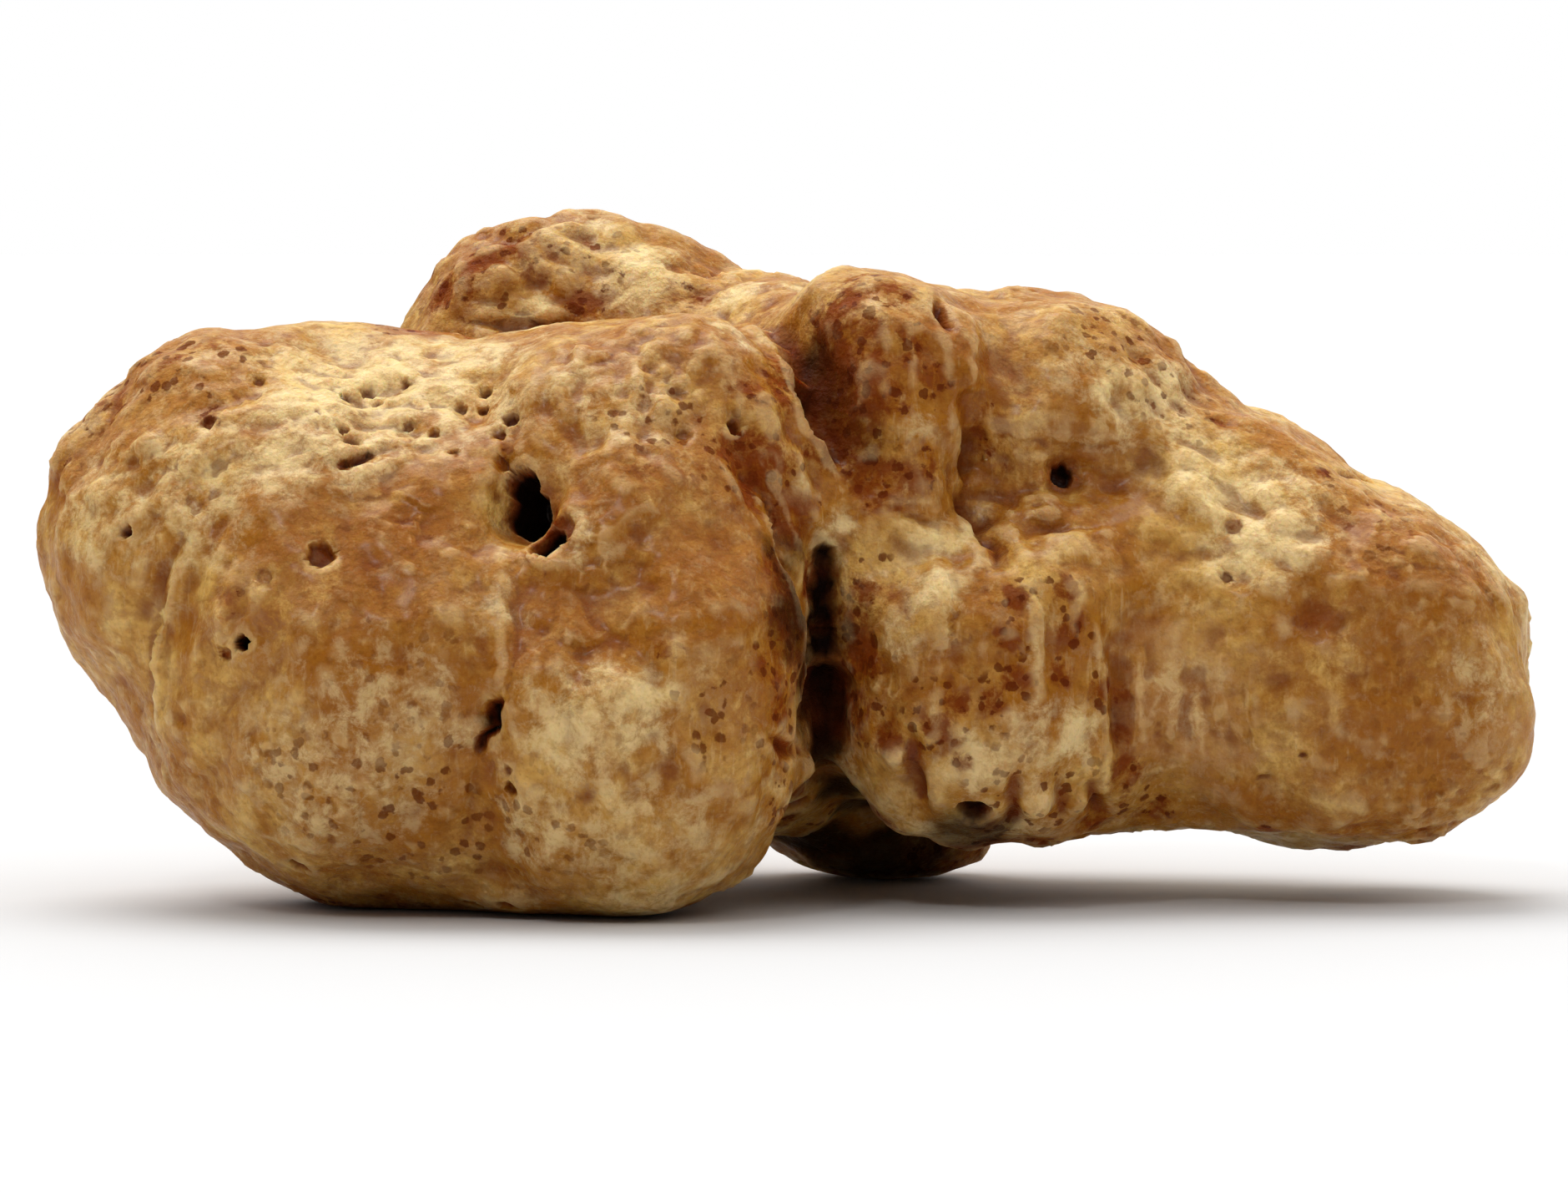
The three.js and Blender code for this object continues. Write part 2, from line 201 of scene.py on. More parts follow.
# Fine wrinkles and pebbles: pixel, radius of the patch, which way they run (right, down), how many times
# longer than wide they are, width and height.
WRINKLES = {
    "ledge": ((1245, 580), 5.5, (1.0, 0.1), 5.0, 0.9, 0.4),
    "cheek": ((155, 575), 3.5, (1.0, -0.35), 5.0, 1.2, 0.7),
    "cheek's streaks": ((235, 720), 5.0, (-0.35, 1.0), 5.0, 1.3, 0.45),
    "shoulder": ((270, 520), 4.0, (1.0, -0.25), 4.0, 1.1, 0.4),
    "brow": ((740, 480), 6.0, (0.15, 1.0), 4.0, 1.0, 0.35),
    "flank": ((1430, 840), 4.0, (0.0, 1.0), 7.0, 0.7, 0.4),
    "end's low side": ((1640, 880), 6.0, (1.0, 0.3), 2.0, 2.4, 0.5),
    "end's brow": ((1700, 640), 5.0, (1.0, 0.5), 1.6, 2.0, 0.5),
    "flank's drip": ((1530, 840), 3.0, (0.0, 1.0), 5.0, 1.5, 0.3),
    "knob": ((1110, 430), 3.5, (0.1, 1.0), 5.0, 0.9, 0.28),
    "slope": ((1440, 590), 5.0, (1.0, 0.6), 3.0, 1.3, 0.5),
    "crown's foot": ((650, 366), 3.0, (1.0, 0.1), 4.0, 0.9, 0.4),
    "apron": ((1200, 800), 6.0, (0.0, 1.0), 3.0, 1.2, 0.3),
    "strap": ((930, 560), 4.5, (0.5, 1.0), 5.0, 1.1, 0.5),
    "chin": ((770, 900), 6.0, (0.4, 1.0), 2.5, 1.8, 0.6),
    "hump's pebbles": ((1400, 450), 6.0, (1.0, 0.5), 1.5, 1.3, 0.6),
    "slope's pebbles": ((1520, 640), 5.0, (1.0, 0.4), 1.5, 1.4, 0.5),
    "crown's pebbles": ((640, 290), 7.0, (1.0, 0.3), 1.5, 1.2, 0.6),
    "plateau's pebbles": ((460, 480), 6.0, (1.0, -0.1), 2.0, 0.9, 0.4),
    "brow's pebbles": ((780, 430), 5.0, (1.0, 0.0), 1.2, 0.9, 0.4),
    "apron's curds": ((1230, 640), 3.5, (1.0, 0.3), 1.5, 1.4, 0.45),
}

# How the named forms fade, and how uneven they are: a height or a share, and the width of its swells.
CREASE_REACH = 3.0  # half-widths
CREASE_DEPTHS = (0.7, 2.2)
CREASE_WIDTHS = (0.5, 1.1)
STEP_REACH = 2.5  # times the fade
STEP_WANDER = (0.3, 1.3)
STEP_LEAST = 1e-9  # keeps a length that is divided by above 0
DROP_EDGE = (-0.1, 0.35)  # across the line: where the drop starts and where it is full
LIP_EDGE = (-0.2, 0.2)
LIP_WIDTH = 0.8
BUMP_REACH = 2.5  # radii
HOLLOW_LIE = 3.0  # how far around a hollow the skin is asked which way is in
HOLLOW_REACH = 1.5  # radii
HOLLOW_RAGGED = (0.22, 0.7)  # radii
WRINKLE_REACH = 1.2  # radii
WRINKLE_EDGE = 0.8  # radii

# Relief between the named forms: the width of its swells and their height.
SWELLS = [(5.5, 0.45), (2.4, 0.3), (1.2, 0.13), (0.7, 0.06)]
FLOOR_EASE = 1.6  # height over which relief fades to nothing at the floor

# Scattered pits. They crowd in zones, and over the plateau.
PITTED_ZONES = (9.0, 3.7)  # the width of the zones, and the seed that places them
PITTED_RISE = (0.0, 0.35)  # the noise's values where a zone starts and is full
PITTED_PLATEAU = {"plateau": [(450, 490, 8.0, 1.0)]}
PIT_SPACING = 1.5
PIT_RADIUS = (0.15, 0.35)  # shares of the spacing: the least, and what a lot of 1 adds
PIT_WALL = (0.3, 1.0)  # shares of the radius: the flat bottom's, and the rim's
PIT_DEPTH = 0.22
LOT_SCALE = 7.0  # sets neighbouring pits apart in the noise that gives each its lot

# Holes of larvae on the sides not seen: how many, and the seed that places them. Then the least radius and
# depth, and what a lot of 1 adds to each.
LARVA_HOLES = (34, 16)
LARVA_RADIUS = (0.35, 0.35)
LARVA_DEPTH = (0.4, 0.9)
LARVA_WALL = 0.3
FACES_BACK = 0.05  # the photograph doesn't show skin whose normal points further back than this,
FACES_DOWN = -0.75  # or further down than this

# Stains and painted light, by where they lie: the pixel across and down, the radius and the strength. Small
# rust dots crowd where the skin is DOTTED. DARK is painted shade in the folds, cracks and holes, on the flap,
# the heel and the knob's left flank under the overhang, with some earth in them.
RUST = {
    "crown": [
        (545, 290, 1.4, 0.8), (515, 320, 1.8, 0.8), (560, 330, 1.6, 0.9), (615, 295, 1.6, 0.8),
        (690, 290, 1.6, 0.5), (720, 335, 1.4, 0.5), (700, 372, 1.4, 0.8), (820, 350, 1.6, 0.6),
        (650, 320, 1.2, 0.6), (530, 355, 1.4, 0.8),
    ],
    "plateau and brow": [
        (110, 492, 1.4, 0.6), (150, 470, 1.6, 0.5), (200, 440, 1.5, 0.6), (260, 412, 1.6, 0.5),
        (600, 545, 1.0, 0.5), (870, 540, 1.2, 0.7), (440, 500, 0.7, 0.5), (250, 500, 1.1, 0.6),
    ],
    "left front": [
        (385, 660, 0.7, 0.8), (268, 783, 0.45, 0.8), (278, 722, 1.0, 0.4), (315, 690, 0.5, 0.5),
        (75, 570, 1.6, 0.4), (622, 572, 0.9, 0.9), (672, 640, 1.3, 0.9), (640, 676, 0.8, 0.6),
        (760, 560, 1.4, 0.4), (830, 560, 1.4, 0.5), (800, 780, 1.0, 0.5), (330, 740, 1.1, 0.4),
    ],
    "left foot": [(700, 950, 0.8, 0.5)],
    "knob": [
        (987, 396, 1.4, 1.0), (1010, 370, 1.5, 0.9), (1045, 405, 1.3, 0.8), (1030, 445, 1.6, 1.0),
        (1085, 415, 1.3, 0.7), (1118, 455, 1.1, 0.6), (1072, 480, 1.2, 0.7), (1100, 560, 1.5, 0.8),
        (1075, 590, 1.2, 0.8), (1000, 450, 2.4, 1.0), (1010, 510, 2.2, 1.0), (1040, 560, 1.6, 1.0),
        (1040, 335, 2.0, 0.9), (1075, 350, 1.5, 0.8), (1012, 435, 1.6, 0.9), (1035, 480, 1.4, 1.0),
        (1045, 590, 1.5, 1.0), (980, 480, 1.2, 0.7), (945, 440, 1.4, 0.8), (1185, 505, 1.3, 0.6),
        (1195, 540, 1.2, 0.6),
    ],
    "strap": [
        (900, 470, 1.3, 0.7), (940, 460, 1.3, 1.0), (925, 560, 1.6, 0.9), (900, 530, 1.1, 0.8),
        (955, 620, 1.6, 0.9), (985, 540, 1.2, 0.9), (935, 480, 1.1, 0.8), (890, 590, 1.4, 0.9),
        (945, 620, 1.0, 0.6),
    ],
    "flap": [
        (965, 700, 1.6, 1.0), (950, 760, 2.6, 1.0), (945, 700, 2.0, 1.0), (950, 740, 2.2, 1.0),
        (940, 690, 1.5, 0.9), (962, 800, 1.6, 1.0), (925, 800, 1.2, 0.8), (935, 850, 1.2, 0.9),
        (935, 905, 1.0, 0.9), (950, 950, 1.0, 0.9), (940, 985, 1.0, 0.8),
    ],
    "apron": [
        (1347, 880, 0.8, 0.8), (1345, 830, 0.7, 0.7), (1215, 715, 0.8, 0.9), (1212, 765, 0.9, 0.9),
        (1215, 815, 0.9, 0.9), (1278, 705, 0.9, 0.9), (1285, 755, 0.9, 0.8), (1272, 805, 0.9, 0.8),
        (1318, 828, 0.9, 0.9), (1030, 720, 1.4, 0.9), (1035, 790, 1.6, 1.0), (1025, 860, 1.6, 1.0),
        (1065, 880, 1.1, 0.9), (1150, 845, 0.9, 0.9), (1190, 842, 0.9, 0.9), (1120, 872, 1.0, 0.9),
        (1080, 720, 1.0, 0.5),
    ],
    "frill": [
        (1350, 930, 1.2, 0.9), (1310, 985, 1.2, 0.8), (1060, 985, 1.4, 0.9), (1180, 990, 1.3, 0.9),
        (1150, 912, 0.6, 0.8), (1355, 960, 1.0, 0.7),
    ],
    "hump to slope": [(1460, 505, 0.5, 0.9), (1585, 563, 0.7, 0.8), (1480, 625, 0.7, 0.7)],
    "flank and end": [(1575, 740, 1.0, 0.25), (1385, 965, 1.2, 0.7)],
}
# Amber skin. In the left front's middle dish, on the knob's left flank and in the ledge's hollow below the
# hump it is partly painted shade.
AMBER_AND_SHADE = {
    "crown": [
        (500, 340, 2.5, 0.9), (530, 310, 3.5, 0.8), (560, 330, 2.5, 0.9), (540, 340, 3.5, 0.8),
        (700, 320, 3.5, 0.3),
    ],
    "plateau and brow": [
        (760, 520, 7.0, 0.6), (700, 410, 5.0, 0.5), (850, 450, 4.0, 0.6), (150, 470, 4.0, 0.6),
        (700, 435, 3.0, 0.6), (800, 440, 2.5, 0.6),
    ],
    "left front": [
        (430, 620, 7.0, 0.8), (820, 560, 5.0, 0.8), (400, 690, 5.5, 0.9), (780, 620, 5.5, 0.8),
        (480, 620, 4.5, 0.9), (420, 740, 6.0, 0.8), (740, 700, 5.0, 0.8), (600, 760, 4.0, 0.6),
        (860, 620, 6.0, 0.8), (680, 590, 4.0, 0.7), (480, 690, 5.0, 0.5), (400, 620, 4.0, 0.5),
        (90, 560, 4.0, 0.7), (630, 740, 2.4, 0.9), (690, 700, 3.0, 0.7), (770, 690, 3.0, 0.7),
        (840, 690, 2.5, 0.8), (420, 710, 3.0, 0.5), (260, 740, 2.5, 0.7), (120, 700, 2.5, 0.5),
        (170, 640, 2.0, 0.5),
    ],
    "left foot": [
        (480, 820, 7.0, 0.8), (300, 860, 4.5, 0.6), (430, 1010, 5.0, 0.8), (560, 1010, 5.0, 0.5),
        (640, 1040, 4.0, 0.4), (850, 960, 3.0, 0.4), (450, 1040, 4.0, 0.4),
    ],
    "knob": [
        (1115, 430, 3.2, 0.9), (1100, 450, 2.5, 0.7), (1010, 460, 4.5, 1.0), (1190, 470, 3.0, 0.7),
        (1180, 560, 2.5, 0.7),
    ],
    "strap": [(930, 540, 3.5, 0.8)],
    "flap": [(920, 720, 3.5, 0.9), (900, 800, 4.0, 0.8)],
    "apron": [(1210, 860, 4.0, 0.6), (1040, 780, 4.5, 0.9), (1200, 800, 5.0, 0.6)],
    "hump to slope": [
        (1380, 430, 4.0, 0.5), (1260, 440, 3.0, 0.5), (1210, 545, 4.5, 0.7), (1300, 570, 4.5, 0.8),
        (1240, 620, 3.0, 0.7), (1300, 590, 2.5, 0.5), (1680, 620, 3.0, 0.4),
    ],
    "flank and end": [
        (1680, 760, 7.0, 0.8), (1590, 770, 4.5, 0.7), (1750, 860, 4.5, 0.7), (1600, 830, 4.0, 0.6),
        (1700, 800, 4.0, 0.5), (1780, 900, 4.0, 0.6), (1560, 800, 2.0, 0.7),
    ],
}
# Pale skin. On the top-lit crown, the plateau and brow, and from the hump to the slope it is partly a painted
# highlight.
PALE_AND_HIGHLIGHT = {
    "crown": [
        (700, 300, 3.0, 0.7), (770, 330, 2.5, 1.0), (650, 255, 3.0, 0.8), (745, 330, 2.0, 0.9),
        (640, 377, 1.2, 1.0), (780, 300, 1.5, 0.8), (885, 350, 1.5, 0.9),
    ],
    "plateau and brow": [
        (470, 450, 5.0, 0.9), (740, 480, 4.0, 0.5), (560, 430, 4.0, 0.7), (430, 490, 6.0, 0.9),
        (530, 470, 3.5, 0.9), (340, 545, 3.0, 0.8), (880, 400, 1.5, 0.6), (620, 500, 1.6, 0.6),
    ],
    "left front": [
        (120, 600, 4.0, 0.6), (230, 640, 3.0, 0.5), (250, 560, 4.0, 0.6), (590, 730, 1.6, 0.5),
        (690, 640, 1.8, 0.5),
    ],
    "left foot": [
        (400, 920, 6.0, 0.5), (760, 1000, 4.0, 0.5), (700, 870, 3.0, 0.8), (760, 850, 2.5, 0.8),
        (480, 880, 4.0, 0.5), (640, 1000, 2.5, 0.6),
    ],
    "knob": [(1100, 510, 1.4, 0.4), (960, 345, 1.2, 0.7)],
    "strap": [(960, 590, 1.2, 0.6)],
    "main cleft": [(1000, 640, 1.4, 0.8)],
    "apron": [
        (1120, 700, 1.8, 0.9), (1125, 650, 1.4, 1.0), (1236, 700, 1.2, 0.3), (1238, 780, 1.2, 0.3),
        (1236, 860, 1.2, 0.45), (1080, 760, 1.3, 0.7), (1322, 790, 0.8, 0.4), (1165, 640, 0.9, 1.0),
    ],
    "frill": [
        (1240, 900, 3.0, 0.5), (1290, 885, 1.6, 0.9), (1170, 905, 2.0, 0.7), (1072, 900, 0.9, 0.5),
        (1242, 958, 1.1, 0.5),
    ],
    "hump to slope": [
        (1520, 600, 3.5, 0.7), (1290, 430, 2.5, 0.4), (1340, 480, 2.5, 0.8), (1400, 470, 2.5, 0.8),
        (1480, 600, 3.0, 0.9), (1500, 650, 3.0, 0.9), (1440, 560, 3.0, 0.8), (1550, 640, 2.0, 0.8),
    ],
    "flank and end": [(1420, 830, 2.5, 0.4), (1790, 820, 3.0, 0.4)],
}
PINK = {
    "crown": [(640, 360, 2.0, 0.3)],
    "left front": [(300, 710, 2.4, 0.6)],
    "left foot": [(120, 860, 3.0, 0.6), (180, 960, 3.0, 0.6)],
    "frill": [(1240, 950, 1.5, 0.5)],
    "flank and end": [
        (1400, 820, 2.4, 1.0), (1400, 870, 2.2, 1.0), (1440, 840, 2.2, 1.0), (1385, 760, 1.6, 1.0),
        (1420, 830, 2.6, 1.0), (1400, 780, 2.0, 1.0), (1450, 890, 2.5, 0.9), (1380, 880, 1.5, 0.9),
        (1822, 850, 2.5, 0.8), (1835, 760, 2.0, 0.8), (1440, 780, 1.8, 0.8),
    ],
}
DOTTED = {
    "crown": [
        (500, 300, 2.5, 0.9), (590, 290, 2.5, 0.8), (530, 320, 2.5, 0.9), (700, 300, 3.0, 0.5),
        (560, 330, 3.0, 0.6),
    ],
    "plateau and brow": [(150, 460, 4.0, 0.6), (230, 430, 3.5, 0.6), (800, 500, 4.0, 0.5)],
    "left front": [(880, 560, 3.0, 0.6)],
    "left foot": [
        (850, 860, 2.5, 0.5), (500, 980, 5.0, 0.5), (640, 1000, 4.0, 0.4), (720, 800, 3.0, 0.3),
        (400, 950, 5.0, 0.4), (480, 820, 5.0, 0.3),
    ],
    "knob": [
        (1000, 400, 2.0, 0.9), (1060, 380, 2.5, 0.9), (1090, 470, 2.0, 0.7), (1010, 440, 2.4, 0.9),
        (1040, 500, 2.0, 0.8), (950, 470, 1.2, 1.0),
    ],
    "strap": [(930, 560, 2.0, 0.9)],
    "flap": [
        (950, 740, 2.5, 1.0), (955, 800, 2.2, 1.0), (925, 800, 2.0, 0.9), (935, 880, 2.0, 0.9),
        (940, 960, 1.5, 0.9),
    ],
    "main cleft": [(985, 980, 1.5, 0.6)],
    "apron": [
        (1215, 715, 1.1, 1.0), (1212, 765, 1.1, 1.0), (1215, 815, 1.2, 1.0), (1278, 705, 1.2, 1.0),
        (1285, 755, 1.2, 1.0), (1272, 805, 1.2, 1.0), (1318, 828, 1.2, 1.0), (1035, 700, 1.8, 0.8),
        (1030, 780, 2.0, 1.0), (1040, 850, 2.2, 1.0), (1120, 860, 2.0, 0.8), (1190, 842, 1.4, 1.0),
    ],
    "frill": [(1340, 960, 2.0, 0.8)],
    "hump to slope": [(1400, 450, 4.0, 0.5), (1350, 420, 4.0, 0.5), (1650, 620, 4.0, 0.4)],
    "flank and end": [(1700, 900, 6.0, 0.25)],
}
DARK = {
    # painted shade inside the slit, the round and cheek bores and the chin's crack
    "plateau and brow": [(415, 553, 0.25, 0.7), (440, 545, 0.25, 0.7)],
    "left front": [(288, 770, 0.36, 1.0), (150, 637, 0.24, 0.9)],
    "left foot": [(586, 868, 0.35, 0.7), (597, 845, 0.35, 0.9), (588, 864, 0.4, 0.9), (577, 892, 0.35, 0.8)],
    # painted shadow that the middle mass's overhanging edge casts on the knob's left flank
    "knob": [
        (975, 440, 0.9, 0.7), (990, 475, 0.9, 0.6), (982, 430, 1.3, 0.6), (1000, 480, 2.0, 0.45),
        (1025, 530, 1.8, 0.4), (965, 470, 0.6, 0.6),
    ],
    # painted shade on the flap between the middle mass and the main cleft
    "flap": [
        (966, 785, 1.0, 0.8), (925, 660, 0.9, 0.6), (948, 660, 1.2, 0.5), (955, 720, 1.6, 0.6),
        (965, 780, 1.4, 0.6), (950, 745, 2.2, 0.75), (960, 805, 1.8, 0.75), (942, 690, 1.4, 0.55),
        (962, 850, 1.2, 0.6), (955, 860, 1.2, 0.5),
    ],
    # painted shade deep in the main cleft
    "main cleft": [
        (986, 660, 0.7, 1.0), (988, 700, 0.7, 1.0), (986, 735, 0.8, 1.0), (986, 770, 0.8, 1.0),
        (984, 800, 0.8, 1.0), (968, 750, 1.0, 0.8), (972, 740, 1.0, 1.0), (976, 772, 1.0, 1.0),
        (978, 712, 0.9, 1.0), (985, 670, 0.8, 0.8), (988, 690, 0.8, 0.8), (992, 760, 0.9, 0.9),
        (1010, 760, 1.0, 0.5), (1010, 840, 1.2, 0.5), (985, 900, 1.5, 0.9), (990, 800, 0.9, 0.8),
        (990, 720, 0.7, 0.6), (975, 830, 0.9, 0.6), (1010, 940, 1.6, 0.9),
    ],
    "frill": [(1166, 972, 0.8, 0.8), (1030, 960, 2.0, 0.8)],
    # painted shade on the heel, under the truffle's middle
    "heel": [(975, 1010, 3.0, 0.9), (1050, 1030, 3.0, 0.9), (1160, 1000, 2.5, 0.8), (1100, 1010, 3.0, 0.8)],
    "hump to slope": [(1275, 567, 0.5, 1.0)],
}

# The stains by kind, the amber and pale ones partly painted shade and highlight, and more of them on the
# sides
# not seen: how many, the seed that places them, least and most radius, and strength.
STAINS_AND_PAINTED_LIGHT = {
    "rust": (RUST, 40, 11, 0.8, 3.5, 0.85),
    "amber": (AMBER_AND_SHADE, 24, 12, 2.5, 7.0, 0.7),
    "pale": (PALE_AND_HIGHLIGHT, 20, 13, 2.5, 7.0, 0.65),
    "pink": (PINK, 8, 14, 2.0, 5.0, 0.7),
    "dotted": (DOTTED, 30, 15, 1.5, 5.0, 0.8),
}

# A patch of stain, painted shade or painted highlight, in radii: how far it reaches, how ragged its edge is
# and how wide the swells of that, and where the edge starts and is full.
PATCH_REACH = 1.9
PATCH_RAGGED = (0.5, 0.6)
PATCH_EDGE = (-0.5, 0.6)
PATCH_SEED = 5.1

# How often the skin is smoothed to tell how deep a point lies, in fine pits and in broad folds.
FINE_ROUNDS = 4
BROAD_ROUNDS = 60


def linear(red, green, blue):
    """A colour as it looks on screen, 0 to 255, in the linear light that Blender mixes, by the sRGB rule."""
    parts = [part / 255.0 for part in (red, green, blue)]
    return [part / 12.92 if part <= 0.04045 else ((part + 0.055) / 1.055) ** 2.4 for part in parts] + [1.0]


CREAM = linear(228, 184, 102)
OCHRE = linear(172, 110, 30)
CREAM_WHITE = linear(248, 220, 158)
HONEY = linear(152, 86, 18)
AMBER_BROWN = linear(124, 64, 10)
PINK_BROWN = linear(190, 136, 82)
# The rust colours also serve as painted shade in the hollows and bores.
RUST_AND_SHADE_ORANGE = linear(124, 50, 11)
RUST_AND_SHADE_BROWN = linear(98, 36, 8)
# Near-black: painted shade deep in the folds, cracks and bores, with some earth in them.
SHADE_AND_SOIL = linear(20, 8, 4)
WHITE = (1.0, 1.0, 1.0, 1.0)

# The noises in the skin: the width of their swells, detail, roughness, distortion, and height over width.
PATTERNS = {
    "mottle": (5.0, 5.0, 0.6, 0.5, 1.0),
    "curd": (1.9, 4.0, 0.65, 0.0, 1.0),
    "wisp": (1.3, 5.0, 0.72, 0.3, 1.0),
    "gloss": (0.9, 3.0, 0.55, 0.0, 1.0),
    "pebble": (0.8, 3.0, 0.55, 0.0, 1.0),
    "strand": (0.35, 2.0, 0.55, 0.0, 6.0),
    "grain": (0.3, 3.0, 0.6, 0.0, 1.0),
}
MOST_NOISE = (0.3, 0.7)  # most values of a noise lie between these

# The clean skin is cream, with paler curds and strands, and darker between pebbles and grains. Laid on in
# turn: the pattern, the colour, the values where it starts and is full, and its strongest share.
GROUND_TINTS = [
    ("mottle", OCHRE, 0.24, 0.6, 1.0),
    ("curd", CREAM_WHITE, 0.5, 0.74, 0.4),
    ("strand", CREAM_WHITE, 0.55, 0.72, 0.2),
    ("pebble", AMBER_BROWN, 0.54, 0.3, 0.4),
    ("grain", AMBER_BROWN, 0.5, 0.3, 0.25),
]

# Stains, the amber and pale ones partly painted shade and highlight, laid over the clean skin in turn: the
# colour, where the frayed mask starts and is full, and the strongest share.
STAIN_AND_PAINTED_LIGHT_TINTS = {
    "amber": (HONEY, 0.0, 1.25, 0.9),
    "pink": (PINK_BROWN, 0.1, 1.2, 0.6),
    "pale": (CREAM_WHITE, 0.1, 1.3, 0.85),
    "rust": (RUST_AND_SHADE_ORANGE, 0.25, 1.05, 0.85),
}
FRAYING = 0.45  # how far the wisps move a mask up or down

# Rust dots: how far apart they are, how their distance wobbles, where a dot's edge ends and starts, how
# strong they are on clean skin, the values where they start and are full, and their strongest share.
DOT_SPACING = 0.85
DOT_WOBBLE = (0.25, -0.15)
DOT_EDGE = (0.42, 0.24)
CLEAN_DOTS = 0.22
DOT_RISE = (0.08, 0.7)
DOTS = 0.8

# What lies deep is darker: painted shade in the fine pits, broad folds and bores, with some rust in the pits.
# Fine ridges are paler: partly wear, partly a painted highlight. Laid on in turn: the stored depth, the
# colour, the depths where it starts and is full, and its strongest share.
DEPTH_TINTS = [
    ("fine_hollow", CREAM_WHITE, -0.03, -0.12, 0.25),
    ("fine_hollow", RUST_AND_SHADE_ORANGE, 0.01, 0.1, 0.5),
    ("fine_hollow", RUST_AND_SHADE_BROWN, 0.1, 0.4, 0.8),
    ("broad_hollow", RUST_AND_SHADE_BROWN, 0.3, 1.1, 0.6),
    ("broad_hollow", SHADE_AND_SOIL, 0.9, 2.2, 0.85),
    ("sunk", RUST_AND_SHADE_ORANGE, 0.1, 0.35, 0.6),
    ("sunk", RUST_AND_SHADE_BROWN, 0.3, 0.7, 0.8),
    ("sunk", SHADE_AND_SOIL, 0.6, 1.1, 1.0),
]

# The waxy skin. Light goes a little way in, red the furthest. Its shine is a thin coat, lost on the stains
# and in the folds.
ROUGHNESS = (0.34, 0.6)
GLOSS_RISE = (0.35, 0.65)  # the pattern's values where it is smoothest and roughest
SUBSURFACE = 0.5
SUBSURFACE_DEPTH = 0.9
SUBSURFACE_COLOURS = (1.0, 0.45, 0.15)
SPECULAR = 0.02
COAT = 0.22
COAT_ROUGHNESS = 0.2
COAT_LOST = 0.8  # the share of a stain that takes the coat away
FOLD_RISE = (0.3, 1.4)  # the depths where a fold starts to take it away, and does fully
RELIEF_HEIGHT = 0.4  # of the finest relief, which is only in the material
GRAIN_SHARE = 0.4

# The lights: watts per square metre, then degrees across, behind overhead, and to the right.
LIGHTS = {
    "softbox": (2.6, 130.0, 15.0, 4.0),
    "lamp": (1.75, 40.0, 20.0, -10.0),
    "glint": (0.3, 9.0, -38.0, -20.0),
}
ROOM_STRENGTH = 0.16
FLOOR_WHITE = 0.66
FLOOR_ROUGHNESS = 0.9
FLOOR_HALF = 3.0  # metres


def noises(points, size, seed=0.0):
    """Smooth noise from -1 to 1 whose swells are `size` across, at each of the points."""
    spots = (points / size + seed).tolist()
    return np.array([noise.noise(spot) for spot in spots])


def uneven(points, height, size, seed):
    """The same noise from -height to height. Its seed is any number that tells one form from the next."""
    return height * noises(points, size, seed)


def cells(points, size):
    """Seeds about `size` apart: each point's distance from the nearest, in sizes, and that seed's lot."""
    nearest = [noise.voronoi(spot) for spot in (points / size).tolist()]
    apart = np.array([distances[0] for distances, _ in nearest])
    return apart, np.array([noise.cell(seeds[0] * LOT_SCALE) for _, seeds in nearest])


def rise(value, low, high):
    """0 below low, 1 above high, and a smooth step between."""
    t = np.clip((value - low) / (high - low), 0.0, 1.0)
    return t * t * (3.0 - 2.0 * t)


def bell(apart, width):
    """1 at the middle, fading smoothly to next to nothing at twice the width."""
    return np.exp(-(apart / width) ** 2)


def tapered(nearest, count):
    """Fades a line of `count` places towards both its ends, at the number of each point's nearest place."""
    return np.sqrt(np.sin(math.pi * (nearest + 0.5) / count))


def drawn(span, lot):
    """A size by lot, from 0 to 1. The span is its least, and what a lot of 1 adds."""
    least, more = span
    return least + more * lot


def read(collection, name, width=3):
    """A property of every item of a mesh's collection, as rows of `width` numbers."""
    values = np.empty(len(collection) * width)
    collection.foreach_get(name, values)
    return values.reshape(-1, width)


def placed(name, data):
    """A new object in the scene."""
    thing = bpy.data.objects.new(name, data)
    bpy.context.scene.collection.objects.link(thing)
    return thing


